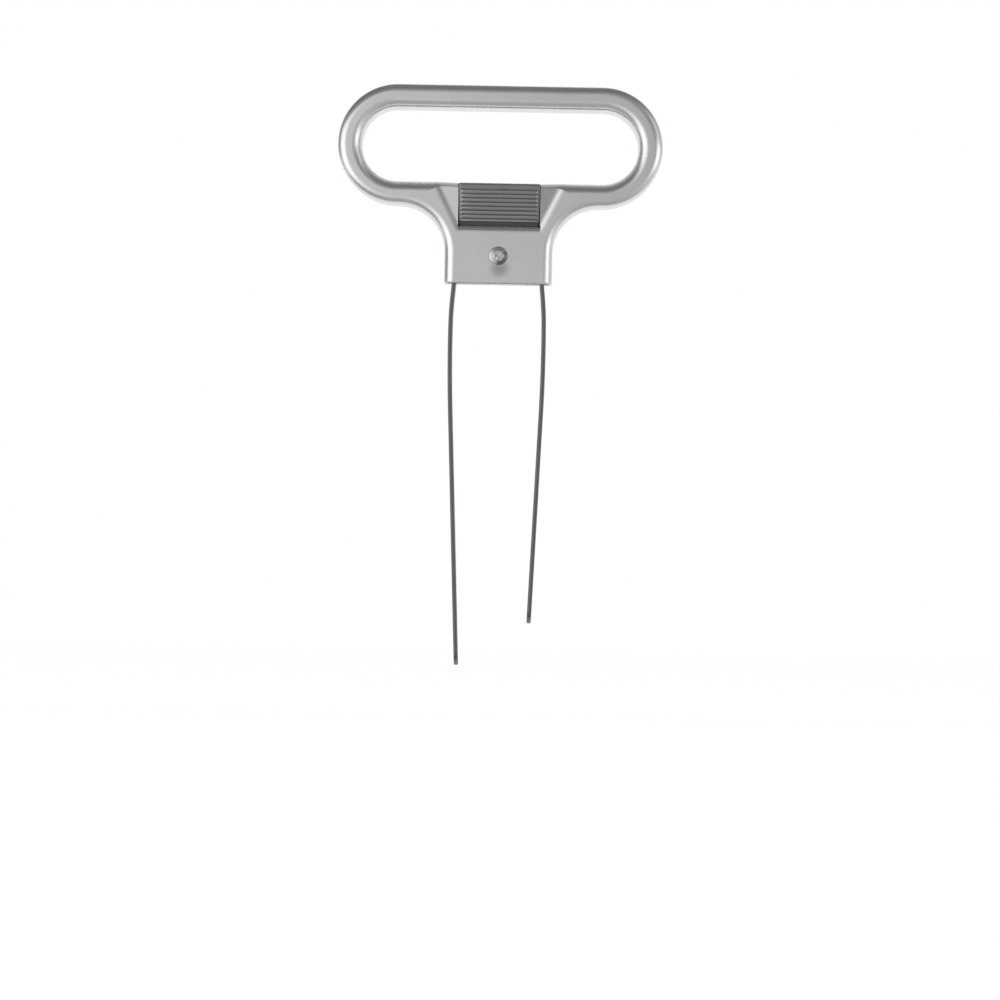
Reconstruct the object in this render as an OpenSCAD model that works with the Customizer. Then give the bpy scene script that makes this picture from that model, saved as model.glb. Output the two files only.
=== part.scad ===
// Two-prong cork puller: a hollow handle of two pressed shells, with two spring-steel
// prongs of unequal length hung on one rivet inside its neck.
// Millimetres. X runs to the right, Y to the back and Z up. The origin is the middle of
// the neck's open mouth, between the prongs.

/* [Loop] */
// Outer radius of the loop's round ends
loop_r = 13.95; // [13:0.05:15]
// Straight stretch of the loop's lower bar between each flare and round end
bar_flat = 0.3; // [0.2:0.1:6]
// Height of the loop's centre line above the mouth
loop_z = 31.9; // [31:0.1:36]
// Width of the loop's bar, seen from the front
bar_w = 5.45; // [4.8:0.05:6.5]

/* [Neck] */
// Width of the neck
neck_w = 25; // [24:0.1:30]
// Radius of the flares between the neck and the loop
flare_r = 10.9; // [8:0.1:14]

/* [Shells] */
// Depth of the handle, from front face to back face
handle_d = 11; // [10.4:0.1:14]
// Thickness of the pressed sheet
wall = 1; // [0.8:0.05:1.2]
// Outer radius of the rolled edges
edge_r = 1.7; // [1.3:0.05:2]
// Gap of the seam between the two shells
seam_gap = 0.1; // [0.04:0.01:0.3]

/* [Thumb window] */
// Height of the window's rolled lower lip above the mouth
lip_z = 13.5; // [13.2:0.1:15]
// Width of the recess at the lip
recess_low_w = 19.5; // [19.4:0.1:21]
// Width of the recess where it runs out into the loop
recess_top_w = 29.6; // [26:0.1:31]
// Tilt of the recess's side facets from the face, in degrees
facet_tilt = 32; // [15:1:35]
// Radius of the fold between the face and each side facet
fold_r = 3; // [1:0.1:4]

/* [Thumb block] */
// Width of the ribbed block
block_w = 18.7; // [15:0.1:19]
// Play between the block and the shells beside it
block_play = 0.15; // [0.05:0.01:0.3]
// Depth of the ribbed face below the handle's face, at the lip
panel_low_d = 1.3; // [1:0.05:1.8]
// Radius of the block's upper front edge
crown_r = 0.9; // [0.5:0.1:2]
// Height of the undercut below the ribbed face
foot_h = 1.3; // [0.4:0.1:1.5]
// Depth of that undercut
foot_d = 1.1; // [0.2:0.05:1.3]
// Spacing of the ribs
rib_pitch = 0.97; // [0.9:0.01:1.4]
// Width of each rib at its foot
rib_w = 0.8; // [0.6:0.01:0.85]
// Height of the ribs
rib_h = 0.3; // [0.15:0.01:0.4]
// Plain border at each end of the ribs
rib_border = 0.35; // [0.2:0.05:1]
// Width of the shoulder that each side of the block hides behind the sheet
shoulder_w = 1.2; // [0.8:0.1:2]

/* [Prongs] */
// Length of the long prong below the mouth
long_l = 89; // [75:1:100]
// Length of the short prong below the mouth
short_l = 79; // [65:1:90]
// Thickness of the spring-steel strip
blade_t = 1; // [0.6:0.05:1.2]
// Play between the strip's edges and the insides of the shells
blade_play = 0.2; // [0.1:0.05:0.4]
// Play between the strip and the neck's side wall at the mouth
side_play = 0.8; // [0.6:0.02:1.4]
// Outward lean of the strip where it leaves the mouth, in degrees
lean = 5.3; // [3:0.1:7]
// Depth below the mouth at which the strip starts to bend back
bend_z = 3.3; // [2:0.1:6]
// Radius of the bend below the mouth
bend_r = 80; // [60:1:110]
// Outward lean left after that bend, in degrees
crest_lean = 0.7; // [0.3:0.1:1.5]
// Radius of the long bow that follows
bow_r = 380; // [300:5:450]
// Inward lean of the straight lower blade, in degrees
tip_lean = 2.3; // [1.5:0.1:2.8]
// Length of the tapered end
taper_l = 32; // [20:1:34]
// Width of the rounded tip
tip_w = 6; // [4.5:0.1:7.5]
// Height of the strip's root above the rivet
root_h = 3.9; // [3.3:0.1:4.2]
// Radius of the eye round the rivet
eye_r = 3; // [2.4:0.1:3.2]

/* [Rivet] */
// Height of the rivet above the mouth
rivet_z = 6.4; // [5.8:0.1:7]
// Radius of the rivet's shank
rivet_r = 1.25; // [1:0.05:1.4]
// Radial clearance of every bore on the shank
rivet_fit = 0.05; // [0.02:0.01:0.1]
// Radius of the factory head at the back
head_r = 2.4; // [2:0.1:3]
// Height of the factory head
head_h = 0.8; // [0.5:0.05:1.2]
// Thickness of the factory head at its rim
head_rim = 0.2; // [0.1:0.05:0.3]
// Radius of the peened end at the front
peen_r = 1.65; // [1.6:0.05:1.8]
// Height of the peened end
peen_h = 0.4; // [0.25:0.05:0.6]
// Radius of the flat on the peened end
peen_flat_r = 1.35; // [1.1:0.05:1.55]
// Radius of the washer under the peened end
washer_r = 2.15; // [1.95:0.05:2.8]
// Thickness of the washer
washer_t = 0.45; // [0.3:0.05:0.8]
// Bevel of the washer's outer edge
washer_bevel = 0.3; // [0.1:0.05:0.3]
// Outer radius of the spacer tube between the prongs' eyes
spacer_r = 2.3; // [1.9:0.1:3]
// Play between each end of the spacer and the eye beside it
spacer_play = 0.05; // [0.02:0.01:0.1]

/* [Hidden] */
$fn = 96;
// A cut runs this far past the face that it opens
over = 1;
// Turn of each short straight that the strip's bends are laid out in, in degrees
bend_step = 0.8;
// A rounding starts this far over its two faces, so that it crosses them cleanly
ease = 0.002;
half_d = handle_d / 2;
half_neck = neck_w / 2;
inner_y = half_d - wall;
// Loop
hole_r = loop_r - bar_w;
sill_z = loop_z - hole_r;
bar_low_z = loop_z - loop_r;
flare_x = half_neck + flare_r;
flare_z = bar_low_z - flare_r;
loop_half = flare_x + bar_flat;
// Thumb window and its recess
window_half = block_w / 2 + block_play;
window_h = sill_z - lip_z;
lip_y = half_d - edge_r - 1.5 * wall;
facet_slope = atan((recess_top_w - recess_low_w) / 2 / window_h);
facet_l = window_h / cos(facet_slope) + 3 * over;
facet_turn = atan(tan(facet_tilt) * cos(facet_slope));
facet_lean = atan(tan(facet_tilt) * sin(facet_slope) * cos(facet_turn));
facet_d = (recess_top_w / 2 - window_half) * tan(facet_turn);
// Thumb block
panel_top_d = facet_d;
shoulder_y = half_d - facet_d - wall / cos(facet_tilt) - block_play;
panel_tilt = atan((panel_top_d - panel_low_d) / window_h);
rib_n = floor((window_h - foot_h - crown_r) / rib_pitch);
// Prongs
blade_w = 2 * (inner_y - blade_play);
mouth_x = half_neck - wall - side_play - blade_t / 2;
root_z = rivet_z + root_h;
bend_top = [strip_x(-bend_z), -bend_z];
bend_end = arc_point(bend_top, bend_r, lean, crest_lean);
bow_end = arc_point(bend_end, bow_r, crest_lean, -tip_lean);
ear_y = blade_w / 2 - blade_t;
// Rivet
bore_r = rivet_r + rivet_fit;
dome_h = head_h - head_rim;
dome_r = (head_r * head_r + dome_h * dome_h) / (2 * dome_h);

// Distance of a prong's centre line from the middle, at height z down to the first bend
function strip_x(z) = mouth_x - z * tan(lean);

// Point of a bend of radius r that starts at p with one outward lean, where it has another
function arc_point(p, r, lean_0, lean_1) =
    p + r * [cos(lean_1) - cos(lean_0), sin(lean_1) - sin(lean_0)];

// Stations of that bend, each as its point of the centre line and its lean
function arc_stations(p, r, lean_0, lean_1) =
    let (n = ceil((lean_0 - lean_1) / bend_step))
    [for (i = [1 : n]) let (a = lean_0 + (lean_1 - lean_0) * i / n) [arc_point(p, r, lean_0, a), a]];

// Stations down the whole centre line of a right-hand prong that reaches l below the mouth
function stations(l) = concat(
    [[[strip_x(root_z), root_z], lean], [bend_top, lean]],
    arc_stations(bend_top, bend_r, lean, crest_lean),
    arc_stations(bend_end, bow_r, crest_lean, -tip_lean),
    [[bow_end - (l + bow_end[1]) * [tan(tip_lean), 1], -tip_lean]]);

// Point of the strip's face at a station, on the outer side for 1 and on the inner for -1
function strip_face(station, side) =
    station[0] + side * blade_t / 2 * [cos(station[1]), sin(station[1])];

// Height of the front of the ribbed face over the seam, at height z
function panel_y(z) = half_d - panel_low_d - (panel_top_d - panel_low_d) * (z - lip_z) / window_h;

// Carries a flat shape drawn in X and Z to the depths from y0 to y1
module slab(y0, y1) {
    translate([0, y1, 0]) rotate([90, 0, 0]) linear_extrude(height = y1 - y0) children();
}

// Carries a flat shape drawn in Y and Z along X, to the same distance on both sides
module along_x(half_w) {
    translate([-half_w, 0, 0]) rotate([90, 0, 90]) linear_extrude(height = 2 * half_w) children();
}

// Turns a shape that stands on the seam to point at the front, on the rivet's axis
module on_rivet() {
    translate([0, 0, rivet_z]) rotate([90, 0, 0]) children();
}

// What is taken off a corner of the given angle to round it to radius r. One side of the
// corner runs from the origin along X, and the material lies under it.
module corner_cut(r, angle) {
    c = r - ease;
    t = c / tan(angle / 2);
    far = [t * cos(angle), -t * sin(angle)];
    difference() {
        polygon([[t, over], [t, -c], far, far + over * [-sin(angle), -cos(angle)],
            2 * over * [-cos(angle / 2), sin(angle / 2)]]);
        translate([t, -c]) circle(r = r);
    }
}

// Section of a rolled edge. Its X is the distance in from the edge, and its Y the height
// over the seam.
module edge_section() {
    translate([0, seam_gap / 2]) square([edge_r, half_d - edge_r - seam_gap / 2]);
    translate([edge_r, half_d - edge_r]) intersection() {
        circle(r = edge_r);
        translate([-edge_r, 0]) square(edge_r);
    }
}

// Section of the loop's bar, with its outer edge at X = loop_r and its inner at hole_r
module bar_section() {
    translate([loop_r, 0]) mirror([1, 0]) edge_section();
    translate([hole_r + edge_r, seam_gap / 2])
        square([bar_w - 2 * edge_r, half_d - seam_gap / 2]);
    translate([hole_r, 0]) edge_section();
}

// Section of the hollow inside the bar
module bar_hollow_section() {
    translate([hole_r + wall, -over]) square([bar_w - 2 * wall, inner_y + over]);
}

// Sweeps a section round the loop's left end, along its top and round its right end. The
// section's X is the distance from the loop's centre line, and its Y the height over the seam.
module round_the_loop() {
    translate([0, 0, loop_z]) {
        for (side = [-1, 1]) translate([side * loop_half, 0, 0])
            rotate([90, 0, 0]) rotate([0, 0, -90 * side]) rotate_extrude(angle = 180) children();
        translate([-loop_half, 0, 0]) rotate(a = 180, v = [1, 0, 1])
            linear_extrude(height = 2 * loop_half) children();
    }
}

// Outline of the neck and of the loop's lower bar, drawn in X and Z, with its sides drawn
// in by inset and its lower end at z0
module neck_outline(inset, z0) {
    translate([-loop_half, bar_low_z + inset]) square([2 * loop_half, bar_w - 2 * inset]);
    translate([inset - half_neck, z0]) square([neck_w - 2 * inset, sill_z - inset - z0]);
    for (side = [0, 1]) mirror([side, 0]) difference() {
        translate([half_neck - inset - over, flare_z])
            square([flare_r + inset + over, flare_r + inset + over]);
        translate([flare_x, flare_z]) circle(r = flare_r + inset);
    }
}

// Rolled edge of the neck's right side: up the straight, round the flare and on to the loop
module neck_edge() {
    translate([half_neck, 0, 0]) rotate([0, 0, 180])
        linear_extrude(height = flare_z) edge_section();
    translate([flare_x, 0, flare_z]) rotate([90, 0, 0]) rotate([0, 0, 90])
        rotate_extrude(angle = 90) translate([flare_r, 0]) edge_section();
    translate([flare_x, 0, bar_low_z]) rotate(a = 180, v = [1, 0, 1])
        linear_extrude(height = bar_flat) edge_section();
}

// Rolled edge under the loop's opening
module sill_edge() {
    translate([loop_half, 0, sill_z]) rotate(a = 180, v = [1, 0, -1])
        linear_extrude(height = 2 * loop_half) edge_section();
}

// Carries a flat section up the slanted fold of the recess's right side. The section's X
// runs out along the face and its Y into the handle.
module up_the_fold() {
    translate([recess_low_w / 2, -half_d, lip_z]) rotate([0, facet_slope, 0])
        linear_extrude(height = facet_l) children();
}

// What the right side facet takes away, down to depth below the facet
module facet_cut(depth) {
    up_the_fold() rotate(-facet_tilt) translate([-loop_half, -half_d])
        square([loop_half, half_d + depth]);
}

// Rounds the right fold, and rolls the top of its facet into the loop's opening
module facet_rounding() {
    up_the_fold() mirror([0, 1]) corner_cut(fold_r, 180 - facet_tilt);
    translate([recess_top_w / 2, -half_d, sill_z]) rotate([0, 0, -facet_turn])
        along_x(recess_top_w / 2) corner_cut(edge_r, 90 + facet_lean);
}

// The window, with the roll of its lower lip
module window_cut() {
    along_x(window_half) {
        translate([-half_d - over, lip_z]) square([half_d + 2 * over, window_h + over]);
        difference() {
            translate([-half_d - over, lip_z - edge_r]) square([edge_r + over, edge_r + over]);
            translate([edge_r - half_d, lip_z - edge_r]) circle(r = edge_r);
        }
    }
}

// The hollow of one shell, which leaves the sheet behind the facets and the rolled lip
module hollow() {
    difference() {
        union() {
            round_the_loop() bar_hollow_section();
            slab(-inner_y, over) neck_outline(wall, -over);
        }
        for (side = [0, 1]) mirror([side, 0, 0]) facet_cut(wall);
        along_x(window_half + wall) translate([-half_d, lip_z - wall]) square([half_d - lip_y, wall]);
    }
}

// One pressed half of the handle, in its place as the front one
module shell() {
    color("silver") difference() {
        union() {
            round_the_loop() bar_section();
            slab(-half_d, -seam_gap / 2) neck_outline(edge_r, 0);
            for (side = [0, 1]) mirror([side, 0, 0]) neck_edge();
            sill_edge();
        }
        hollow();
        for (side = [0, 1]) mirror([side, 0, 0]) {
            facet_cut(0);
            facet_rounding();
        }
        window_cut();
        on_rivet() cylinder(r = bore_r, h = half_d + over);
    }
}

module front_shell() {
    shell();
}

module back_shell() {
    mirror([0, 1, 0]) shell();
}

// Section of the block's front half, with its rolled crown and the undercut at its foot
module block_section() {
    difference() {
        polygon([[over, lip_z], [foot_d - panel_y(lip_z), lip_z],
            [-panel_y(lip_z + foot_h), lip_z + foot_h], [-panel_y(sill_z), sill_z], [over, sill_z]]);
        translate([-panel_y(sill_z), sill_z]) corner_cut(crown_r, 90 + panel_tilt);
    }
}

// Wedge between the two windows. It stands on both rolled lips, and a shoulder on each side
// lies behind the sheet of the recess, under the wall of the loop's opening.
module thumb_block() {
    rib_z = lip_z + foot_h + (window_h - foot_h - crown_r - rib_n * rib_pitch) / 2;
    // The ribs run on into the block this far, and widen as they do
    rib_foot = rib_h / 2;
    rib_foot_w = rib_w * (rib_h + rib_foot) / rib_h;
    color("gray") {
        along_x(block_w / 2) for (side = [0, 1]) mirror([side, 0]) block_section();
        for (side = [0, 1]) mirror([0, side, 0]) along_x(block_w / 2 - rib_border)
            for (i = [0 : rib_n - 1]) translate([0, rib_z + (i + 0.5) * rib_pitch]) polygon([
                [rib_foot - panel_y(rib_z + i * rib_pitch), -rib_foot_w / 2],
                [-rib_h - panel_y(rib_z + (i + 0.5) * rib_pitch), 0],
                [rib_foot - panel_y(rib_z + (i + 1) * rib_pitch), rib_foot_w / 2]]);
        along_x(block_w / 2 + shoulder_w) translate([-shoulder_y, lip_z + block_play])
            square([2 * shoulder_y, window_h - wall - 2 * block_play]);
    }
}

// Outline of a prong seen from the side, with its taper and rounded tip
module blade_outline(l) {
    tip_z = tip_w / 2 - l;
    polygon([[-blade_w / 2, root_z + over], [-blade_w / 2, taper_l - l], [-tip_w / 2, tip_z],
        [tip_w / 2, tip_z], [blade_w / 2, taper_l - l], [blade_w / 2, root_z + over]]);
    translate([0, tip_z]) circle(r = tip_w / 2);
}

// A prong that reaches l below the mouth, in its place on the right, with the ear that is
// bent from its back edge and hangs it on the rivet
module prong(l) {
    line = stations(l);
    color("dimgray") difference() {
        union() {
            intersection() {
                slab(-half_d, half_d) polygon(concat(
                    [for (i = [0 : len(line) - 1]) strip_face(line[i], 1)],
                    [for (i = [len(line) - 1 : -1 : 0]) strip_face(line[i], -1)]));
                along_x(loop_half) blade_outline(l);
            }
            slab(ear_y, blade_w / 2) {
                translate([0, rivet_z]) circle(r = eye_r);
                polygon([[0, rivet_z - eye_r], [strip_x(rivet_z - root_h), rivet_z - root_h],
                    [strip_x(rivet_z + eye_r), rivet_z + eye_r], [0, rivet_z + eye_r]]);
            }
        }
        mirror([0, 1, 0]) on_rivet() cylinder(r = bore_r, h = half_d);
    }
}

module long_prong() {
    rotate([0, 0, 180]) prong(long_l);
}

module short_prong() {
    prong(short_l);
}

// Rivet, with its factory head at the back and its end peened over the washer at the front
module rivet() {
    color("lightgray") on_rivet() {
        translate([0, 0, -half_d]) cylinder(r = rivet_r, h = handle_d + washer_t);
        translate([0, 0, half_d + washer_t]) cylinder(r1 = peen_r, r2 = peen_flat_r, h = peen_h);
        intersection() {
            translate([0, 0, -half_d - head_h]) cylinder(r = head_r, h = head_h);
            translate([0, 0, dome_r - half_d - head_h]) sphere(r = dome_r);
        }
    }
}

module rivet_washer() {
    color("lightgray") on_rivet() translate([0, 0, half_d]) difference() {
        union() {
            cylinder(r = washer_r, h = washer_t - washer_bevel);
            translate([0, 0, washer_t - washer_bevel])
                cylinder(r1 = washer_r, r2 = washer_r - washer_bevel, h = washer_bevel);
        }
        translate([0, 0, -over]) cylinder(r = bore_r, h = washer_t + 2 * over);
    }
}

// Tube on the rivet that holds the two eyes apart
module rivet_spacer() {
    spacer_y = ear_y - spacer_play;
    color("lightgray") on_rivet() translate([0, 0, -spacer_y]) difference() {
        cylinder(r = spacer_r, h = 2 * spacer_y);
        translate([0, 0, -over]) cylinder(r = bore_r, h = 2 * (spacer_y + over));
    }
}

front_shell();
back_shell();
thumb_block();
long_prong();
short_prong();
rivet();
rivet_washer();
rivet_spacer();
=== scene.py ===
"""Two-prong cork puller: its looks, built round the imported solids.

Sizes are in millimetres, and become metres when a mesh is made. X runs right, Y back and
Z up, and the origin is the middle of the neck's open mouth.
"""
import math

import bmesh
import bpy
import numpy as np
from mathutils import Matrix, Vector


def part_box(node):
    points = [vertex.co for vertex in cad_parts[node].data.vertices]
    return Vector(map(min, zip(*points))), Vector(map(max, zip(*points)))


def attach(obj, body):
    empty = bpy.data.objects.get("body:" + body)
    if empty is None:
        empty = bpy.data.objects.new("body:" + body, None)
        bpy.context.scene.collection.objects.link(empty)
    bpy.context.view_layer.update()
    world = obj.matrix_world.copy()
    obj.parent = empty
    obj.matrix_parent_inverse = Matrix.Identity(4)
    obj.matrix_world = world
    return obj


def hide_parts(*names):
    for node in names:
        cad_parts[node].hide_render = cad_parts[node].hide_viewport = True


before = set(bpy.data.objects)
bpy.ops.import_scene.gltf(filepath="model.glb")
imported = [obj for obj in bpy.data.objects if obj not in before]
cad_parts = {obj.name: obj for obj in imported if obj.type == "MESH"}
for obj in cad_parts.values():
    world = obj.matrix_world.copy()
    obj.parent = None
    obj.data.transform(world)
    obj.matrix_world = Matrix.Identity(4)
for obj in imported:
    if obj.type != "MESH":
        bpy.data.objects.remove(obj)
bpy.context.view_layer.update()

# Prongs.
# Two strips of tempered spring steel, blanked to a long taper with a round tip and with their
# edges ground round. An ear turned in from one edge of each strip hangs it on the rivet.
MM = 0.001
HALF_BLADE = 4.3
BLADE_T = 1.0
BLADE_EDGE = 0.3
TIP_R = 3.0
TAPER_L = 32.0
MOUTH_X = 10.2
LEAN = math.radians(5.3)
BEND_DEPTH = 3.3
BEND_R = 80.0
CREST_LEAN = math.radians(0.7)
BOW_R = 380.0
TIP_LEAN = math.radians(2.3)
RIVET_Z = 6.4
BORE_R = 1.3
EYE_R = 3.0
EAR_DROP = 3.9
FACE_POINTS = 9
EAR_POINTS = 145
MERGE_WITHIN = 0.002
SHARP_FROM = math.radians(38)


def grid_mesh(name, grids, outward=None):
    """One mesh of grids of points in millimetres. Each grid gives quads between its
    neighbouring rows and columns, edges that meet are merged, and faces point outwards. An
    open sheet says by a direction which of its sides is the outer one."""
    points = []
    quads = []
    start = 0
    for grid in grids:
        rows, columns = grid.shape[:2]
        index = np.arange(rows * columns).reshape(rows, columns) + start
        corners = [index[:-1, :-1], index[1:, :-1], index[1:, 1:], index[:-1, 1:]]
        points.append(grid.reshape(-1, 3))
        quads.append(np.stack(corners, axis=2).reshape(-1, 4))
        start += rows * columns
    mesh = bpy.data.meshes.new(name)
    mesh.from_pydata(np.concatenate(points) * MM, [], np.concatenate(quads).tolist())
    work = bmesh.new()
    work.from_mesh(mesh)
    bmesh.ops.remove_doubles(work, verts=work.verts, dist=MERGE_WITHIN * MM)
    bmesh.ops.recalc_face_normals(work, faces=work.faces)
    if outward is not None and sum(face.normal.dot(outward) for face in work.faces) < 0:
        bmesh.ops.reverse_faces(work, faces=work.faces)
    work.to_mesh(mesh)
    work.free()
    mesh.shade_smooth()
    mesh.set_sharp_from_angle(angle=SHARP_FROM)
    piece = bpy.data.objects.new(name, mesh)
    bpy.context.scene.collection.objects.link(piece)
    return piece


def centre_line(z):
    """How far out the strip's middle lies at heights z, and its lean there. The sine of the
    lean is constant along a straight stretch and falls evenly along a bend, and the distance
    out is the lean's tangent summed up from the mouth down, in steps of 0.05 mm."""
    bend_end = BEND_DEPTH + BEND_R * (math.sin(LEAN) - math.sin(CREST_LEAN))
    bow_end = bend_end + BOW_R * (math.sin(CREST_LEAN) + math.sin(TIP_LEAN))
    depth = np.linspace(-20, 100, 2401)
    sine = np.interp(depth, [BEND_DEPTH, bend_end, bow_end],
                     [math.sin(LEAN), math.sin(CREST_LEAN), -math.sin(TIP_LEAN)])
    slope = sine / np.sqrt(1 - sine ** 2)
    out = np.concatenate([[0], np.cumsum((slope[1:] + slope[:-1]) / 2 * np.diff(depth))])
    out += MOUTH_X - np.interp(0, depth, out)
    return np.interp(-z, depth, out), np.arcsin(np.interp(-z, depth, sine))


# Section of the strip, all round: each point's share of the half width, its inset from the
# edge and its height over the middle. The second half is the first, turned by half a turn.
quarter = np.radians(np.linspace(0, 90, 5))
edge_inset = BLADE_EDGE * (1 - np.sin(quarter))
edge_height = BLADE_T / 2 - BLADE_EDGE * (1 - np.cos(quarter))
half_share = np.concatenate([np.linspace(-1, 1, FACE_POINTS), np.ones(2 * len(quarter))])
half_inset = np.concatenate([np.full(FACE_POINTS, BLADE_EDGE), edge_inset, edge_inset[::-1]])
half_height = np.concatenate([np.full(FACE_POINTS, BLADE_T / 2), edge_height, -edge_height[::-1]])
strip_share = np.concatenate([half_share, -half_share, half_share[:1]])
strip_inset = np.concatenate([half_inset, half_inset, half_inset[:1]])
strip_height = np.concatenate([half_height, -half_height, half_height[:1]])


def strip(root_z, tip_z):
    """The strip's section carried down its centre line. The first row lies in the middle plane
    and closes the root, the half width falls evenly along the taper, and the last rows turn
    about the tip's centre until both edges meet."""
    taper_z = tip_z + TAPER_L
    centre_z = tip_z + TIP_R
    straight_z = np.concatenate([[root_z], np.linspace(root_z, taper_z, 60),
                                 np.linspace(taper_z, centre_z, 30)[1:]])
    tip_turn = np.radians(np.linspace(0, 90, 13))[1:]
    row_z = np.concatenate([straight_z, np.full(len(tip_turn), centre_z)])
    row_turn = np.concatenate([np.zeros(len(straight_z)), tip_turn])
    half_w = np.interp(row_z, [centre_z, taper_z], [TIP_R, HALF_BLADE])
    radius = half_w[:, None] - strip_inset
    z = row_z[:, None] - radius * np.sin(row_turn)[:, None]
    y = strip_share * radius * np.cos(row_turn)[:, None]
    height = np.where(np.arange(len(row_z)) == 0, 0, 1)[:, None] * strip_height
    out, lean = centre_line(z)
    return np.stack([out + height * np.cos(lean), y, z + height * np.sin(lean)], axis=2)


def ear():
    """A ring round the bore whose outer radius is the eye's, or further out the distance to
    the tab's edges and to the strip, with the outer edge rounded half as far as the blade's."""
    turn = np.radians(np.linspace(0, 360, EAR_POINTS))
    cosine = np.cos(turn)
    sine = np.sin(turn)
    to_strip = (MOUTH_X - RIVET_Z * math.tan(LEAN)) / np.maximum(cosine + sine * math.tan(LEAN), 0.01)
    to_top = EYE_R / np.maximum(sine, 0.01)
    drop_slope = (EAR_DROP - EYE_R) / MOUTH_X
    to_foot = EYE_R / np.maximum(-sine - cosine * drop_slope, 0.01)
    tab = np.minimum(to_strip, np.minimum(to_top, to_foot))
    outer = np.maximum(EYE_R, np.where(cosine > 0, tab, 0))
    inset = np.concatenate([edge_inset, edge_inset[::-1]]) / 2
    depth = np.concatenate([edge_height, -edge_height[::-1]])
    radius = np.concatenate([np.full((EAR_POINTS, 1), BORE_R), outer[:, None] - inset,
                             np.full((EAR_POINTS, 2), BORE_R)], axis=1)
    depth = np.concatenate([[BLADE_T / 2], depth, [-BLADE_T / 2, BLADE_T / 2]])
    y = HALF_BLADE - BLADE_T / 2 + np.tile(depth, (EAR_POINTS, 1))
    return np.stack([radius * cosine[:, None], y, RIVET_Z + radius * sine[:, None]], axis=2)


def node_group(name, inputs, outputs):
    """Shader group whose sockets hold numbers, with its input and output nodes."""
    group = bpy.data.node_groups.new(name, "ShaderNodeTree")
    for socket in inputs:
        group.interface.new_socket(socket, in_out="INPUT", socket_type="NodeSocketFloat")
    for socket in outputs:
        group.interface.new_socket(socket, in_out="OUTPUT", socket_type="NodeSocketFloat")
    return group, group.nodes.new("NodeGroupInput"), group.nodes.new("NodeGroupOutput")


def math_node(tree, operation, first, second):
    """Math node between two sockets or numbers, given as its result."""
    node = tree.nodes.new("ShaderNodeMath")
    node.operation = operation
    for slot, value in enumerate((first, second)):
        if isinstance(value, (int, float)):
            node.inputs[slot].default_value = value
        else:
            tree.links.new(value, node.inputs[slot])
    return node.outputs["Value"]


def noise(tree, vector, scale, detail=3.0):
    """Noise node with features of about 1 / scale, given as its value round 0."""
    node = tree.nodes.new("ShaderNodeTexNoise")
    node.inputs["Scale"].default_value = scale
    node.inputs["Detail"].default_value = detail
    tree.links.new(vector, node.inputs["Vector"])
    return math_node(tree, "SUBTRACT", node.outputs["Fac"], 0.5)


def soft_step(tree, value, low, high):
    """Smooth step of a value from 0 at low to 1 at high."""
    node = tree.nodes.new("ShaderNodeMapRange")
    node.interpolation_type = "SMOOTHSTEP"
    node.inputs["From Min"].default_value = low
    node.inputs["From Max"].default_value = high
    tree.links.new(value, node.inputs["Value"])
    return node.outputs["Result"]


def from_point(tree, point, scale):
    """Vector from a point given in metres to the surface, with each axis scaled."""
    place = tree.nodes.new("ShaderNodeTexCoord")
    vector = place.outputs["Object"]
    for operation, constant in (("SUBTRACT", point), ("MULTIPLY", scale)):
        node = tree.nodes.new("ShaderNodeVectorMath")
        node.operation = operation
        node.inputs[1].default_value = constant
        tree.links.new(vector, node.inputs[0])
        vector = node.outputs["Vector"]
    return vector


def vector_number(tree, operation, vector, other=(0, 0, 0)):
    """Length of a vector, or its dot product with another."""
    node = tree.nodes.new("ShaderNodeVectorMath")
    node.operation = operation
    node.inputs[1].default_value = other
    tree.links.new(vector, node.inputs[0])
    return node.outputs["Value"]


# Surface of worked metal: a fine grain drawn out along one direction, faint rubbed patches
# of a few millimetres, and hairline scratches along level lines of a stretched noise. The
# noises' sizes are in features to the metre.
FINE_GRAIN = 5200
COARSE_GRAIN = 1300
SMALL_PATCHES = 260
BROAD_PATCHES = 70
SCRATCHES = 240
SCRATCH_LEVEL = 0.21
SCRATCH_BAND = 0.003
SCRATCH_DEPTH = 0.25
PATCH_TONE = 0.6
GRAIN_HEIGHT = 0.02
metal_skin, skin_in, skin_out = node_group(
    "metal_skin", ["Stretch X", "Stretch Z", "Grain", "Roughness", "Patches"],
    ["Height", "Roughness", "Tone"])
skin_place = metal_skin.nodes.new("ShaderNodeTexCoord")
skin_axes = metal_skin.nodes.new("ShaderNodeCombineXYZ")
metal_skin.links.new(skin_in.outputs["Stretch X"], skin_axes.inputs["X"])
metal_skin.links.new(skin_in.outputs["Stretch Z"], skin_axes.inputs["Z"])
skin_axes.inputs["Y"].default_value = 1.0
skin_drawn = metal_skin.nodes.new("ShaderNodeVectorMath")
skin_drawn.operation = "MULTIPLY"
metal_skin.links.new(skin_place.outputs["Object"], skin_drawn.inputs[0])
metal_skin.links.new(skin_axes.outputs["Vector"], skin_drawn.inputs[1])
fine = noise(metal_skin, skin_drawn.outputs["Vector"], FINE_GRAIN)
coarse = noise(metal_skin, skin_drawn.outputs["Vector"], COARSE_GRAIN)
small = noise(metal_skin, skin_place.outputs["Object"], SMALL_PATCHES, 4.0)
broad = noise(metal_skin, skin_place.outputs["Object"], BROAD_PATCHES, 2.0)
scratch_turn = metal_skin.nodes.new("ShaderNodeMapping")
scratch_turn.inputs["Rotation"].default_value = (0.3, 0.9, 0.2)
scratch_turn.inputs["Scale"].default_value = (9.0, 1.0, 1.0)
metal_skin.links.new(skin_place.outputs["Object"], scratch_turn.inputs["Vector"])
scratch_noise = noise(metal_skin, scratch_turn.outputs["Vector"], SCRATCHES, 1.0)
scratch = math_node(metal_skin, "COMPARE", scratch_noise, SCRATCH_LEVEL)
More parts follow.
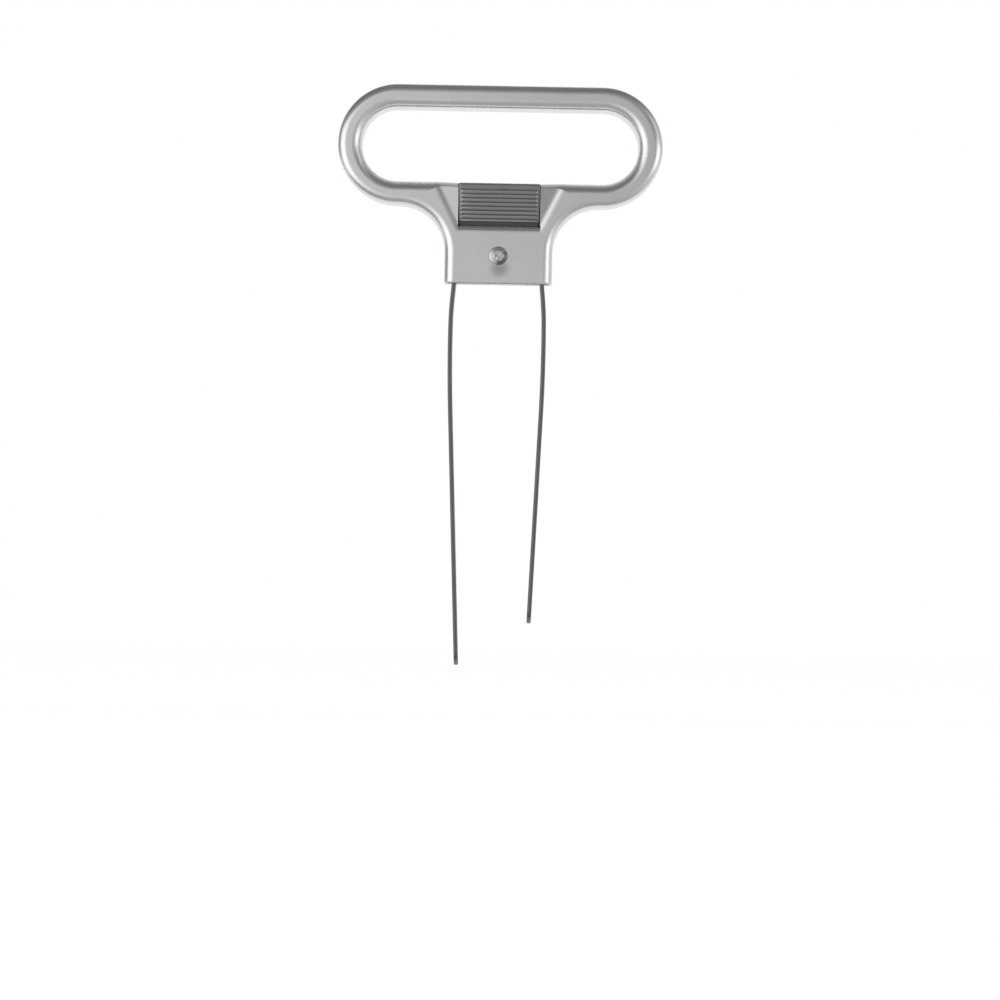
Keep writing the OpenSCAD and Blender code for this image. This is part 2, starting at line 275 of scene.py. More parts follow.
scratch.node.inputs[2].default_value = SCRATCH_BAND
grain = math_node(metal_skin, "ADD", fine, coarse)
height = math_node(metal_skin, "MULTIPLY", grain, skin_in.outputs["Grain"])
metal_skin.links.new(math_node(metal_skin, "SUBTRACT", height,
                               math_node(metal_skin, "MULTIPLY", scratch, SCRATCH_DEPTH)),
                     skin_out.inputs["Height"])
patches = math_node(metal_skin, "ADD", small, broad)
rubbed = math_node(metal_skin, "MULTIPLY", patches, skin_in.outputs["Patches"])
metal_skin.links.new(math_node(metal_skin, "ADD", rubbed, skin_in.outputs["Roughness"]),
                     skin_out.inputs["Roughness"])
metal_skin.links.new(math_node(metal_skin, "ADD", 1.0,
                               math_node(metal_skin, "MULTIPLY", rubbed, PATCH_TONE)),
                     skin_out.inputs["Tone"])


def metal(name, colour, roughness, stretch, grain, patches, bump, shade_mask=None):
    """Metal with the common skin: its own colour, roughness, grain, patches and relief, the
    grain's stretch along X and Z, and the painted shade that a group's mask gives."""
    material = bpy.data.materials.new(name)
    material.use_nodes = True
    tree = material.node_tree
    shader = tree.nodes["Principled BSDF"]
    shader.inputs["Metallic"].default_value = 1.0
    skin = tree.nodes.new("ShaderNodeGroup")
    skin.node_tree = metal_skin
    skin.inputs["Stretch X"].default_value = stretch[0]
    skin.inputs["Stretch Z"].default_value = stretch[1]
    skin.inputs["Grain"].default_value = grain
    skin.inputs["Roughness"].default_value = roughness
    skin.inputs["Patches"].default_value = patches
    tone = tree.nodes.new("ShaderNodeVectorMath")
    tone.operation = "SCALE"
    tone.inputs[0].default_value = colour
    tone_share = skin.outputs["Tone"]
    # A group's mask darkens the colour here: painted shade
    if shade_mask is not None:
        shade_group = tree.nodes.new("ShaderNodeGroup")
        shade_group.node_tree = shade_mask
        unshaded = math_node(tree, "SUBTRACT", 1.0, shade_group.outputs["Mask"])
        tone_share = math_node(tree, "MULTIPLY", tone_share, unshaded)
    tree.links.new(tone_share, tone.inputs["Scale"])
    tree.links.new(tone.outputs["Vector"], shader.inputs["Base Color"])
    tree.links.new(skin.outputs["Roughness"], shader.inputs["Roughness"])
    relief = tree.nodes.new("ShaderNodeBump")
    relief.inputs["Strength"].default_value = bump
    relief.inputs["Distance"].default_value = GRAIN_HEIGHT * MM
    tree.links.new(skin.outputs["Height"], relief.inputs["Height"])
    tree.links.new(relief.outputs["Normal"], shader.inputs["Normal"])
    return material


# The strips' colour is painted dark, as shade for how dark the narrow strips look; the steel itself is
# brighter
spring_steel = metal("tempered_spring_steel", (0.15, 0.15, 0.143), roughness=0.3,
                     stretch=(1.0, 0.06), grain=1.0, patches=0.12, bump=0.35)

for node, side in (("long_prong", -1), ("short_prong", 1)):
    low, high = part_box(node)
    blade = strip(high[2] / MM, low[2] / MM) * (side, side, 1)
    prong = grid_mesh("blade_of_" + node, [blade, ear() * (side, side, 1)])
    prong.data.materials.append(spring_steel)
    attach(prong, node)
    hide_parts(node)

# Spacer tube.
# A length of turned steel tube on the rivet, between the prongs' eyes. Its solid has the right
# shape and stays, with the metal put on it.
rivet_steel = metal("turned_rivet_steel", (0.52, 0.52, 0.51), roughness=0.24,
                    stretch=(1.0, 1.0), grain=0.7, patches=0.12, bump=0.3)
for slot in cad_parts["rivet_spacer"].material_slots:
    slot.link = "OBJECT"
    slot.material = rivet_steel

# Thumb block.
# A die-cast wedge between the shells' windows, with seven ribs under a rolled crown, a
# bevelled foot and a plain border at each end. Its colour is set darker than the shells'.
HALF_D = 5.5
SILL_Z = 23.4
LIP_Z = 13.3
WINDOW = 9.5
BLOCK_HALF = 9.42
PANEL_LOW = 4.2
PANEL_TOP = 2.55
CROWN_R = 0.6
FOOT_H = 1.25
FOOT_D = 1.1
RIB_N = 7
RIB_PITCH = 0.97
RIB_H = 0.22
RIB_LOW_Z = 15.22
RIB_POWER = 1.3
RIB_END = 0.45
END_W = 0.45
END_D = 0.2
CORE_GAP = 0.02
CORE_DEPTH = 0.12
TOP_BAR = 1.5
TOP_BAR_GAP = 0.06
SHOULDER_W = 1.2
SHOULDER_D = 1.22
SHOULDER_GAP = 0.15
SHEET = 1.0

panel_tilt = math.atan((PANEL_LOW - PANEL_TOP) / (SILL_Z - LIP_Z))
crown_z = SILL_Z - CROWN_R


def smooth(value, low, high):
    """Smooth step: 0 up to low, 1 from high on, and 3 t^2 - 2 t^3 between them."""
    t = np.clip((value - low) / (high - low), 0, 1)
    return t * t * (3 - 2 * t)


def panel_y(z):
    """Distance of the panel under the ribs from the seam, falling evenly with height."""
    return PANEL_LOW - (PANEL_LOW - PANEL_TOP) * (z - LIP_Z) / (SILL_Z - LIP_Z)


def block_surface(half_x, rib_h, draw_in):
    """The block's section, from the foot up over the ribs and the crown and mirrored to the
    back, carried along X. The ribs fade out before the ends, where the section draws in
    along its normals by a quarter ellipse and then closes onto the seam. The whole section may
    be drawn in as well, for the plain core that fills the gap beside the ends."""
    foot_z = np.linspace(LIP_Z, LIP_Z + FOOT_H, 5)[:-1]
    face_z = np.linspace(LIP_Z + FOOT_H, crown_z + CROWN_R * math.sin(panel_tilt), 170)
    turn = np.linspace(panel_tilt, math.pi / 2, 14)[1:]
    crown_y = panel_y(crown_z) - CROWN_R / math.cos(panel_tilt)
    y = np.concatenate([[0], panel_y(foot_z) - FOOT_D * (1 - (foot_z - LIP_Z) / FOOT_H),
                        panel_y(face_z), crown_y + CROWN_R * np.cos(turn), [0]])
    z = np.concatenate([[LIP_Z], foot_z, face_z, crown_z + CROWN_R * np.sin(turn), [SILL_Z]])
    step = np.stack([np.gradient(y), np.gradient(z)], axis=1)
    step /= np.linalg.norm(step, axis=1)[:, None]
    rib = (z - RIB_LOW_Z) / RIB_PITCH
    ribbed = (z > LIP_Z + FOOT_H - 0.01) & (rib < RIB_N)
    ribs = rib_h * np.where(ribbed, np.abs(np.sin(math.pi * rib)) ** RIB_POWER, 0)
    ribs[[0, -1]] = 0
    turn = np.radians(np.linspace(0, 90, 7))
    end_x = half_x - END_W * (1 - np.sin(turn))
    fade_x = np.linspace(half_x - END_W - RIB_END, half_x - END_W, 6)[:-1]
    x = np.concatenate([[0, 3, 6], fade_x, end_x, end_x[-1:]])
    fade = smooth(half_x - END_W - x, 0, RIB_END)
    inset = np.concatenate([np.zeros(len(x) - len(turn) - 1), END_D * (1 - np.cos(turn)), [END_D]])
    lift = ribs * fade[:, None] - inset[:, None] - draw_in
    half_y = y + lift * step[:, 1]
    half_z = np.clip(z - lift * step[:, 0], LIP_Z, SILL_Z)
    half_y[:, [0, -1]] = 0
    half_y[-1] = 0
    half = np.stack([np.tile(x[:, None], len(y)), -half_y, half_z], axis=2)
    return [half * (sx, sy, 1) for sx in (-1, 1) for sy in (-1, 1)]


def slab(half_x, half_y, z0, z1):
    """Plain closed bar: a rectangle round the middle carried along X, its ends closed."""
    y = half_y * np.array([-1, 1, 1, -1, -1])
    z = np.array([z0, z0, z1, z1, z0])
    x = half_x * np.array([-1, -1, 1, 1])
    open_y = np.array([0, 1, 1, 0])[:, None] * y
    return np.stack([np.tile(x[:, None], 5), open_y, np.tile(z, (4, 1))], axis=2)


plated_block = metal("plated_cast_block", (0.355, 0.36, 0.365), roughness=0.3,
                     stretch=(0.3, 1.0), grain=1.0, patches=0.12, bump=0.35)
block = grid_mesh("ribbed_thumb_block", [
    *block_surface(BLOCK_HALF, RIB_H, 0.0),
    *block_surface(WINDOW - CORE_GAP, 0.0, CORE_DEPTH),
    slab(WINDOW - CORE_GAP, TOP_BAR, SILL_Z - TOP_BAR, SILL_Z - TOP_BAR_GAP),
    slab(BLOCK_HALF + SHOULDER_W, SHOULDER_D, LIP_Z + SHOULDER_GAP,
         SILL_Z - SHEET - SHOULDER_GAP)])
block.data.materials.append(plated_block)
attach(block, "handle")
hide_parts("thumb_block")

# Handle shells.
# Two mirrored pressings of 1 mm steel sheet with rolled edges, butted along a seam round the
# middle of the handle and satin plated. A recess in each runs up through a window in the neck
# into the loop's opening.
SEAM = 0.05
LOOP_HALF = 23.7
LOOP_Z = 31.9
LOOP_R = 13.95
HOLE_R = 8.5
FLARE_X = 23.4
FLARE_Z = 7.05
FLARE_R = 10.9
ROLL_TURN = math.radians(35)
LOOP_STEEP_R = 1.3
NECK_STEEP_R = 1.7
HOLE_STEEP_R = 1.8
SILL_STEEP_R = 2.8
RECESS_STEEP_R = 1.9
GENTLE_R = 2.5
SILL_GENTLE_R = 2.0
RECESS_GENTLE_R = 0.6
NECK_ROLL_X = 14.0
RECESS_ROLL_W = 1.5
LIP_W = 1.15
LIP_D = 2.0
LIP_END_IN = 0.2
LIP_END_OUT = 0.15
LIP_END_UP = 0.3
LEDGE_H = 2.9
RECESS_X = 9.75
RECESS_TOP_X = 14.8
FACET_TILT = math.radians(32)
FACET_FADE = 1.8
FACET_FADE_TOP = 0.2
FOLD_R = 3.5
MOUTH_EDGE = 0.7
MOUTH_DROP = 0.12
WINDOW_END_W = 0.8
LIP_STEPS = 12
FACE_STEPS = 44


def facet_depth(x, z):
    """Depth of the recess's facet under the face: 0 outside the fold, the distance past the
    fold times the tilt's tangent inside, and an arc of the fold's radius between. It fades
    out under the lip and ends at the opening."""
    slope = math.atan2(RECESS_TOP_X - RECESS_X, SILL_Z - LIP_Z)
    past = (RECESS_X - np.maximum(np.abs(x), WINDOW)) * math.cos(slope)
    past += (z - LIP_Z) * math.sin(slope)
    past += FOLD_R * math.tan(FACET_TILT / 2)
    arc_end = FOLD_R * math.sin(FACET_TILT)
    arc = FOLD_R - np.sqrt(FOLD_R ** 2 - np.clip(past, 0, arc_end) ** 2)
    depth = arc + np.maximum(past - arc_end, 0) * math.tan(FACET_TILT)
    return depth * smooth(z, LIP_Z - FACET_FADE, LIP_Z - FACET_FADE_TOP) * (z < SILL_Z + SEAM)


def face_height(x, z):
    """Height of the pressed face over the seam: flat but for the recess's facets, the lip
    rolled down under the window by a quarter ellipse, and the eased edge of the mouth."""
    t = np.clip((z - LIP_Z + LIP_W) / LIP_W, 0, 1)
    beside = smooth(np.abs(x), WINDOW - LIP_END_IN, WINDOW + LIP_END_OUT)
    lip = LIP_D * (1 - np.sqrt(1 - t * t)) * (1 - beside)
    lip = lip * (1 - smooth(z, LIP_Z, LIP_Z + LIP_END_UP))
    mouth = MOUTH_DROP * (1 - np.clip(z / MOUTH_EDGE, 0, 1)) ** 2
    return HALF_D - facet_depth(x, z) - lip - mouth


# Rolled edge, from the seam up the flank and round onto the face by one radius where it is
# steep and another where it is gentle: the seam's eased corner and its shares of the flank's
# height, and then each step's turn
seam_in = np.array([0.14, 0.04, 0.0, 0.0])
seam_flank = np.array([0.0, 0.02, 0.06, 0.5])
roll_turn = np.concatenate([np.full(len(seam_in), math.pi / 2), np.linspace(math.pi / 2, ROLL_TURN, 8),
                            np.linspace(ROLL_TURN, 0, 9)[1:]])
roll_steps = len(roll_turn) - len(seam_in)
roll_flank = np.concatenate([seam_flank, np.ones(roll_steps)])


def roll_profile(steep_r, gentle_r):
    """How far each step of the roll lies inside the outline, and its drop under the face. An
    arc adds its radius times the change of the turn's sine and cosine."""
    steep = np.maximum(roll_turn, ROLL_TURN)
    gentle = np.minimum(roll_turn, ROLL_TURN)
    inside = steep_r * (1 - np.sin(steep)) + gentle_r * (math.sin(ROLL_TURN) - np.sin(gentle))
    inside = inside + np.concatenate([seam_in, np.zeros(roll_steps)])
    drop = steep_r * (math.cos(ROLL_TURN) - np.cos(steep)) + gentle_r * (1 - np.cos(gentle))
    return inside, drop


def rolled_edge(x, z, inward_x, inward_z, steep_r, gentle_r=GENTLE_R):
    """The rolled edge carried along an outline whose inward direction is given, with one
    radius for all of it or one for each row."""
    inside, drop = roll_profile(np.full(len(x), steep_r)[:, None],
                                np.full(len(x), gentle_r)[:, None])
    x = x[:, None] + inward_x[:, None] * inside
    z = z[:, None] + inward_z[:, None] * inside
    top = face_height(x, z) - drop
    return np.stack([x, -SEAM - (top - SEAM) * roll_flank, z], axis=2)


def across(outer, inner):
    """One rolled edge, the face in straight lines from it to another edge, and that edge."""
    t = np.linspace(0, 1, FACE_STEPS + 1)[None, 1:-1, None]
    face = outer[:, -1:] * (1 - t) + inner[:, :1] * t
    face[:, :, 1] = -face_height(face[:, :, 0], face[:, :, 2])
    return np.concatenate([outer, face, inner], axis=1)


def ring():
    """The face between the loop's outline and its opening, all but the foot between the
    flares: both edges lie square to a centre line that goes round the loop's ends."""
    turn = np.linspace(0, np.pi, 81)
    bar_x = np.linspace(-LOOP_HALF, LOOP_HALF, 61)[1:-1]
    x = np.concatenate([0 * turn - LOOP_HALF, bar_x, 0 * turn + LOOP_HALF])
    out_x = np.concatenate([-np.sin(turn), 0 * bar_x, np.sin(turn)])
    out_z = np.concatenate([-np.cos(turn), 0 * bar_x + 1, np.cos(turn)])
    outer = rolled_edge(x + LOOP_R * out_x, LOOP_Z + LOOP_R * out_z, -out_x, -out_z, LOOP_STEEP_R)
    foot = smooth(-out_z, 0.1, 1)
    inner = rolled_edge(x + HOLE_R * out_x, LOOP_Z + HOLE_R * out_z, out_x, out_z,
                        HOLE_STEEP_R + (SILL_STEEP_R - HOLE_STEEP_R) * foot,
                        GENTLE_R + (SILL_GENTLE_R - GENTLE_R) * foot)
    return across(outer, inner[:, ::-1])


def flare_steep_r(x):
    """Steep radius along the left flare, which grows from the loop's to the neck's."""
    return LOOP_STEEP_R + (NECK_STEEP_R - LOOP_STEEP_R) * smooth(x, -LOOP_HALF, -NECK_ROLL_X)


def shoulder():
    """The left shoulder, from the upper half of the flare up to the edge of the opening, whose
    roll is smaller in the recess."""
    turn = np.radians(np.linspace(90, 45, 50))
    x = np.concatenate([[-LOOP_HALF], FLARE_R * np.cos(turn) - FLARE_X])
    z = np.concatenate([[FLARE_Z + FLARE_R], FLARE_Z + FLARE_R * np.sin(turn)])
    in_x = np.concatenate([[0], np.cos(turn)])
    in_z = np.concatenate([[1], np.sin(turn)])
    sill_x = np.linspace(-LOOP_HALF, -WINDOW, len(x))
    recess = smooth(sill_x, -RECESS_TOP_X - RECESS_ROLL_W, -RECESS_TOP_X + RECESS_ROLL_W)
    sill = rolled_edge(sill_x, 0 * sill_x + SILL_Z, 0 * sill_x, 0 * sill_x - 1,
                       SILL_STEEP_R + (RECESS_STEEP_R - SILL_STEEP_R) * recess,
                       SILL_GENTLE_R + (RECESS_GENTLE_R - SILL_GENTLE_R) * recess)
    return across(rolled_edge(x, z, in_x, in_z, flare_steep_r(x)), sill[:, ::-1])


# Heights of the neck's rows, from where the recess's sill ends down over the lip, where the
# rows follow its quarter ellipse, and on to the mouth's eased edge
side_top = SILL_Z - roll_profile(RECESS_STEEP_R, RECESS_GENTLE_R)[0][-1]
lip_turn = np.radians(np.linspace(90, 0, LIP_STEPS + 1))
row_z = np.concatenate([
    np.linspace(side_top, LIP_Z, 34)[:-1],
    LIP_Z - LIP_W * (1 - np.sin(lip_turn)),
    np.linspace(LIP_Z - LIP_W, FLARE_Z, 16)[1:],
    np.linspace(FLARE_Z, MOUTH_EDGE, 18)[1:],
    MOUTH_EDGE * (1 - np.sin(np.radians(np.linspace(0, 90, 9)[1:])))])


def neck_side():
    """The neck's left side, in lines from the flare and the straight flank to the window's
    edge and on down its line to the mouth."""
    turn = np.radians(45) * np.clip((row_z - FLARE_Z) / (side_top - FLARE_Z), 0, 1)
    x = FLARE_R * np.cos(turn) - FLARE_X
    z = np.where(row_z > FLARE_Z, FLARE_Z + FLARE_R * np.sin(turn), row_z)
    window = np.stack([0 * row_z - WINDOW, 0 * row_z, row_z], axis=1)[:, None]
    window[:, :, 1] = -face_height(window[:, :, 0], window[:, :, 2])
    flank = rolled_edge(x, z, np.cos(turn), np.sin(turn), flare_steep_r(x))
    return across(flank, window)


def neck_middle():
    """The neck's face under the window, as plain rows and columns, with the ledge that the
    rolled lip ends in."""
    end = np.linspace(WINDOW - WINDOW_END_W, WINDOW, 7)
    between = np.linspace(WINDOW_END_W - WINDOW, WINDOW - WINDOW_END_W, 49)[1:-1]
    x = np.concatenate([-end[::-1], between, end])
    x, z = np.meshgrid(x, row_z[row_z <= LIP_Z + 1e-6])
    face = np.stack([x, -face_height(x, z), z], axis=2)
    ledge = face[:1] * (1, 0, 1) - (0, LEDGE_H, 0)
    return np.concatenate([ledge, face])


# Faint oval of painted shadow on the front face, under the rivet
RIVET_SHADOW_X = 0.35
RIVET_SHADOW_DROP = 3.0
RIVET_SHADOW_HALF_W = 3.2
RIVET_SHADOW_HALF_H = 2.7
RIVET_SHADOW_STRENGTH = 0.38
rivet_shadow, _, rivet_shadow_out = node_group("painted_shadow_under_rivet", [], ["Mask"])
rivet_shadow_vector = from_point(rivet_shadow, (RIVET_SHADOW_X * MM, 0, (RIVET_Z - RIVET_SHADOW_DROP) * MM),
                          (1 / (RIVET_SHADOW_HALF_W * MM), 0, 1 / (RIVET_SHADOW_HALF_H * MM)))
rivet_shadow_edge = soft_step(rivet_shadow, vector_number(rivet_shadow, "LENGTH", rivet_shadow_vector), 0.15, 1.0)
rivet_shadow_side = vector_number(rivet_shadow, "DOT_PRODUCT", from_point(rivet_shadow, (0, 0, 0), (1, 1, 1)), (0, 1, 0))
rivet_shadow_spot = math_node(rivet_shadow, "MULTIPLY", math_node(rivet_shadow, "SUBTRACT", 1.0, rivet_shadow_edge),
                       math_node(rivet_shadow, "LESS_THAN", rivet_shadow_side, 0.0))
rivet_shadow.links.new(math_node(rivet_shadow, "MULTIPLY", rivet_shadow_spot, RIVET_SHADOW_STRENGTH), rivet_shadow_out.inputs["Mask"])
# The plate's colour is darkened by the painted shadow under the rivet
satin_plate = metal("satin_nickel_plate", (0.68, 0.69, 0.70), roughness=0.27,
                    stretch=(0.35, 1.0), grain=1.0, patches=0.08, bump=0.12, shade_mask=rivet_shadow)

shell_grids = [ring(), neck_middle()]
for grid in (shoulder(), neck_side()):
    shell_grids += [grid, grid * (-1, 1, 1)]

for node, side in (("front_shell", 1), ("back_shell", -1)):
    pressing = grid_mesh("pressed_" + node, [grid * (1, side, 1) for grid in shell_grids],
                         outward=Vector((0, -side, 0)))
    sheet = pressing.modifiers.new("sheet", "SOLIDIFY")
    sheet.thickness = SHEET * MM
    sheet.offset = -1.0
    pressing.data.materials.append(satin_plate)
    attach(pressing, "handle")
    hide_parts(node)

# Rivet and washer.
# The rivet goes through both shells, the eyes and the spacer. Its domed factory head lies at
# the back, and its end is hammered down over a dished washer at the front.
RIVET_R = 1.25
HEAD_R = 2.4
HEAD_H = 0.8
HEAD_RIM = 0.2
PEEN_R = 1.55
PEEN_H = 0.4
PEEN_ROOT_R = 0.1
PEEN_ROOT_H = 0.12
PEEN_FLAT_R = 1.1
PEEN_SHIFT = 0.1
PEEN_MARKS = 0.035
PEEN_MARKS_R = 0.9
PEEN_PLAIN_R = 1.2
WASHER_R = 2.15
WASHER_T = 0.45
WASHER_RIM = 0.26
WASHER_EDGE = 0.06
RIM_SHADE_STRENGTH = 0.66
AROUND = 97


def turned(radius, height):
    """A profile of radii and heights over the seam turned about the rivet's axis, with the
    height towards the front."""
    turn = np.linspace(0, 2 * np.pi, AROUND)[:, None]
    radius = np.asarray(radius, dtype=float)
    y = -np.tile(np.asarray(height, dtype=float), (AROUND, 1))
    return np.stack([radius * np.cos(turn), y, RIVET_Z + radius * np.sin(turn)], axis=2)


dish = np.linspace(0, 1, 9)
washer_top_r = WASHER_R - WASHER_EDGE - (WASHER_R - WASHER_EDGE - BORE_R) * dish
washer_top_h = WASHER_RIM + (WASHER_T - WASHER_RIM) * np.sin(dish * math.pi / 2)
washer = grid_mesh("dished_washer", [turned(
    [BORE_R, WASHER_R, WASHER_R, *washer_top_r, BORE_R],
    HALF_D + np.array([0, 0, WASHER_RIM - WASHER_EDGE, *washer_top_h, 0]))])

round_turn = np.radians(np.linspace(0, 90, 7))
peen_r = [RIVET_R, *(PEEN_R - PEEN_ROOT_R * (1 - np.sin(round_turn[1:]))),
          *(PEEN_FLAT_R + (PEEN_R - PEEN_FLAT_R) * np.cos(round_turn[1:])),
          *(PEEN_FLAT_R * np.linspace(1, 0, 25)[1:])]
peen_h = HALF_D + WASHER_T + np.array([
    0, *(PEEN_ROOT_H * (1 - np.cos(round_turn[1:]))),
    *(PEEN_ROOT_H + (PEEN_H - PEEN_ROOT_H) * np.sin(round_turn[1:])), *np.full(24, PEEN_H)])
head_share = np.linspace(0, 1, 13)
head_h = HEAD_RIM + (HEAD_H - HEAD_RIM) * np.sqrt(1 - head_share ** 2)
rivet_points = turned(
    [0, *(HEAD_R * head_share[1:]), HEAD_R, RIVET_R, *peen_r],
    [*(-HALF_D - head_h), -HALF_D, -HALF_D, *peen_h])

# Hammer marks on the peened end: two slanted waves multiplied, and a finer one added
rivet_x = rivet_points[:, :, 0]
rivet_z = rivet_points[:, :, 2]
spread = np.hypot(rivet_x, rivet_z - RIVET_Z)
in_front = rivet_points[:, :, 1] < -HALF_D - WASHER_T - 0.01
marks = (np.sin(3.1 * rivet_x + 1.3 * rivet_z + 0.6) * np.cos(3.7 * rivet_z - 1.1 * rivet_x)
         + 0.5 * np.sin(6.3 * rivet_x - 4.7 * rivet_z + 2.0))
marks = PEEN_MARKS * marks * (1 - smooth(spread, PEEN_MARKS_R, PEEN_PLAIN_R))
rivet_points[:, :, 1] += np.where(in_front, marks, 0)
rivet_points[:, :, 0] += np.where(in_front, PEEN_SHIFT, 0)
rivet = grid_mesh("peened_rivet", [rivet_points])

# Painted shade in the hollow between the peening and the washer, darkest at the lower right
rim_shade, _, rim_shade_out = node_group("rim_shade", [], ["Mask"])
rim_shade_vector = from_point(rim_shade, (PEEN_SHIFT * MM, 0, RIVET_Z * MM), (1, 0, 1))
rim_shade_length = vector_number(rim_shade, "LENGTH", rim_shade_vector)
rim_shade_toward = math_node(rim_shade, "DIVIDE", vector_number(
    rim_shade, "DOT_PRODUCT", rim_shade_vector, (0.8, 0, -0.6)), rim_shade_length)
rim_shade_ring = soft_step(rim_shade, rim_shade_length, 1.0 * MM, 1.35 * MM)
rim_shade_side = soft_step(rim_shade, rim_shade_toward, 0.1, 0.6)
rim_shade_spot = math_node(rim_shade, "MULTIPLY", rim_shade_ring, rim_shade_side)
rim_shade.links.new(math_node(rim_shade, "MULTIPLY", rim_shade_spot, RIM_SHADE_STRENGTH),
                    rim_shade_out.inputs["Mask"])
# The washer's and rivet's colour is darkened by the painted shade round the peened end
peened_steel = metal("peened_rivet_steel", (0.52, 0.52, 0.51), roughness=0.28,
                     stretch=(1.0, 1.0), grain=0.7, patches=0.12, bump=0.3, shade_mask=rim_shade)

for piece, node in ((washer, "rivet_washer"), (rivet, "rivet")):
    piece.data.materials.append(peened_steel)
    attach(piece, "handle")
    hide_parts(node)

# Studio.
# The tool is held upright, high over a pale floor, and is seen from in front and a little
# below through a long lens. A large soft box stands on each side, in a light tent that is
# open to the white background.
CAMERA_PLACE = Vector((1.41, -826, -33.25)) * MM
CAMERA_PITCH = math.radians(-1.18)
CAMERA_ROLL = math.radians(1.05)
FLOOR_Z = -342.0
LAMP_DISTANCE = 1.5
TENT_R = 3.0
FLAG_AZIMUTH = math.radians(28)
FLAG_ELEVATION = math.radians(15.5)
TENT_RINGS = 48

camera_data = bpy.data.cameras.new("camera")
camera_data.lens = 127.4
camera_data.sensor_width = 36.0
camera_data.clip_start = 0.01
camera = bpy.data.objects.new("camera", camera_data)
camera.location = CAMERA_PLACE
camera.rotation_euler = (Matrix.Rotation(math.radians(90) + CAMERA_PITCH, 4, "X")
                         @ Matrix.Rotation(CAMERA_ROLL, 4, "Z")).to_euler()
bpy.context.scene.collection.objects.link(camera)
bpy.context.scene.camera = camera
bpy.context.scene.view_settings.view_transform = "Standard"


def soft_box(name, azimuth, elevation, width, height, radiance):
    """Area lamp that faces the handle from an azimuth, counted from the camera to the right,
    and whose whole face has one radiance."""
    lamp_data = bpy.data.lights.new(name, "AREA")
    lamp_data.shape = "RECTANGLE"
    lamp_data.size = width
    lamp_data.size_y = height
    lamp_data.energy = radiance * math.pi * width * height
    lamp = bpy.data.objects.new(name, lamp_data)
    azimuth = math.radians(azimuth)
    elevation = math.radians(elevation)
    direction = Vector((math.sin(azimuth) * math.cos(elevation),
                        -math.cos(azimuth) * math.cos(elevation), math.sin(elevation)))
    lamp.location = direction * LAMP_DISTANCE
    lamp.rotation_euler = direction.to_track_quat("Z", "Y").to_euler()
    lamp.visible_camera = False
    bpy.context.scene.collection.objects.link(lamp)


soft_box("left_box", azimuth=-43, elevation=0, width=1.27, height=1.2, radiance=1.1)
soft_box("left_spill", azimuth=-13, elevation=0, width=0.5, height=1.2, radiance=0.42)
soft_box("right_box", azimuth=48, elevation=0, width=1.0, height=0.5, radiance=1.1)
soft_box("right_card", azimuth=60, elevation=27, width=0.6, height=0.4, radiance=0.42)

world = bpy.data.worlds.new("studio")
bpy.context.scene.world = world
world.use_nodes = True
world.node_tree.nodes["Background"].inputs["Color"].default_value = (1, 1, 1, 1)
world.node_tree.nodes["Background"].inputs["Strength"].default_value = 1.0

# Light tent, which only reflections see: grey cloth, darker overhead and to the left, that
# opens behind the tool to the white background
azimuth_grid, polar_grid = np.meshgrid(np.linspace(0, 2 * np.pi, 2 * TENT_RINGS + 1),
                                       np.linspace(0, np.pi, TENT_RINGS + 1))
tent = grid_mesh("light_tent", [TENT_R / MM * np.stack([
    np.cos(azimuth_grid) * np.sin(polar_grid), np.sin(azimuth_grid) * np.sin(polar_grid),
    np.cos(polar_grid)], axis=2)])
tent.visible_camera = False
tent.visible_diffuse = False
tent.visible_shadow = False

tent_cloth = bpy.data.materials.new("tent_cloth")
tent_cloth.use_nodes = True
tree = tent_cloth.node_tree
tree.nodes.clear()
cloth_out = tree.nodes.new("ShaderNodeOutputMaterial")
cloth_glow = tree.nodes.new("ShaderNodeEmission")
cloth_place = tree.nodes.new("ShaderNodeTexCoord")
cloth_axes = tree.nodes.new("ShaderNodeSeparateXYZ")
tree.links.new(cloth_place.outputs["Object"], cloth_axes.inputs["Vector"])


def ramp(tree, value, reach, stops):
    """Grey ramp over a value from -reach to reach, with stops of place and grey."""
    spread = tree.nodes.new("ShaderNodeMapRange")
    spread.inputs["From Min"].default_value = -reach
    spread.inputs["From Max"].default_value = reach
    tree.links.new(value, spread.inputs["Value"])
    node = tree.nodes.new("ShaderNodeValToRGB")
    for place, grey in stops[1:-1]:
        node.color_ramp.elements.new(place)
    for element, (place, grey) in zip(node.color_ramp.elements, stops):
        element.position = place
        element.color = (grey, grey, grey, 1)
    tree.links.new(spread.outputs["Result"], node.inputs["Fac"])
    return node.outputs["Color"]


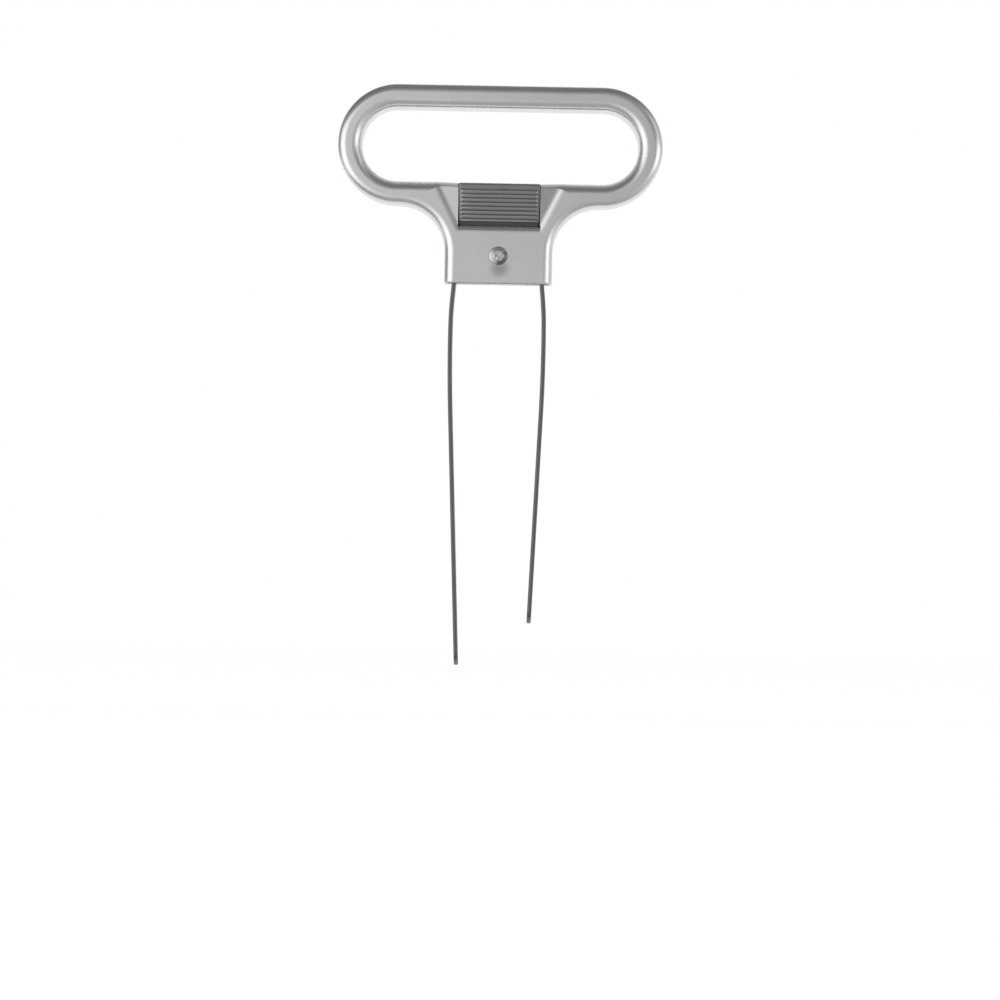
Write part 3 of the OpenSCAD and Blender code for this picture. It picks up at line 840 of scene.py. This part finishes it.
over_height = ramp(tree, cloth_axes.outputs["Z"], TENT_R, [
    (0.0, 0.95), (0.03, 0.62), (0.08, 0.42), (0.16, 0.44), (0.25, 0.5), (0.33, 0.53), (0.5, 0.535),
    (0.57, 0.5), (0.72, 0.37), (0.9, 0.18), (1.0, 0.24)])
over_width = ramp(tree, cloth_axes.outputs["X"], TENT_R, [
    (0.0, 0.7), (0.45, 1.05), (0.5, 1.0), (0.55, 0.98), (0.66, 1.08), (1.0, 1.45)])
cloth = math_node(tree, "MULTIPLY", over_height, over_width)
opening = ramp(tree, cloth_axes.outputs["Y"], TENT_R, [(0.0, 0.0), (0.65, 0.0), (0.9, 1.0), (1.0, 1.0)])
shut = math_node(tree, "MULTIPLY", cloth, math_node(tree, "SUBTRACT", 1.0, opening))
tree.links.new(math_node(tree, "ADD", shut, opening), cloth_glow.inputs["Strength"])
tree.links.new(cloth_glow.outputs["Emission"], cloth_out.inputs["Surface"])
tent.data.materials.append(tent_cloth)

# Dark card at the upper right, which draws the soft line down the left fold
flag = grid_mesh("dark_card", [np.stack([*np.meshgrid([-240.0, 240.0], [-90.0, 90.0]),
                                         np.zeros((2, 2))], axis=2)])
flag_direction = Vector((math.sin(FLAG_AZIMUTH) * math.cos(FLAG_ELEVATION),
                         -math.cos(FLAG_AZIMUTH) * math.cos(FLAG_ELEVATION),
                         math.sin(FLAG_ELEVATION)))
flag.location = flag_direction
flag.rotation_euler = flag_direction.to_track_quat("Z", "Y").to_euler()
flag.visible_camera = False
flag.visible_diffuse = False
flag.visible_shadow = False
flag_cloth = bpy.data.materials.new("dark_cloth")
flag_cloth.use_nodes = True
flag_cloth.node_tree.nodes["Principled BSDF"].inputs["Base Color"].default_value = (0.05, 0.05, 0.05, 1)
flag.data.materials.append(flag_cloth)

floor = grid_mesh("floor", [np.stack([*np.meshgrid([-4000.0, 4000.0], [-120.0, 4000.0]),
                                      np.full((2, 2), FLOOR_Z)], axis=2)],
                  outward=Vector((0, 0, 1)))
floor_paint = bpy.data.materials.new("pale_floor")
floor_paint.use_nodes = True
paint = floor_paint.node_tree.nodes["Principled BSDF"]
paint.inputs["Base Color"].default_value = (0.99, 0.99, 0.99, 1)
paint.inputs["Roughness"].default_value = 0.9
floor.data.materials.append(floor_paint)
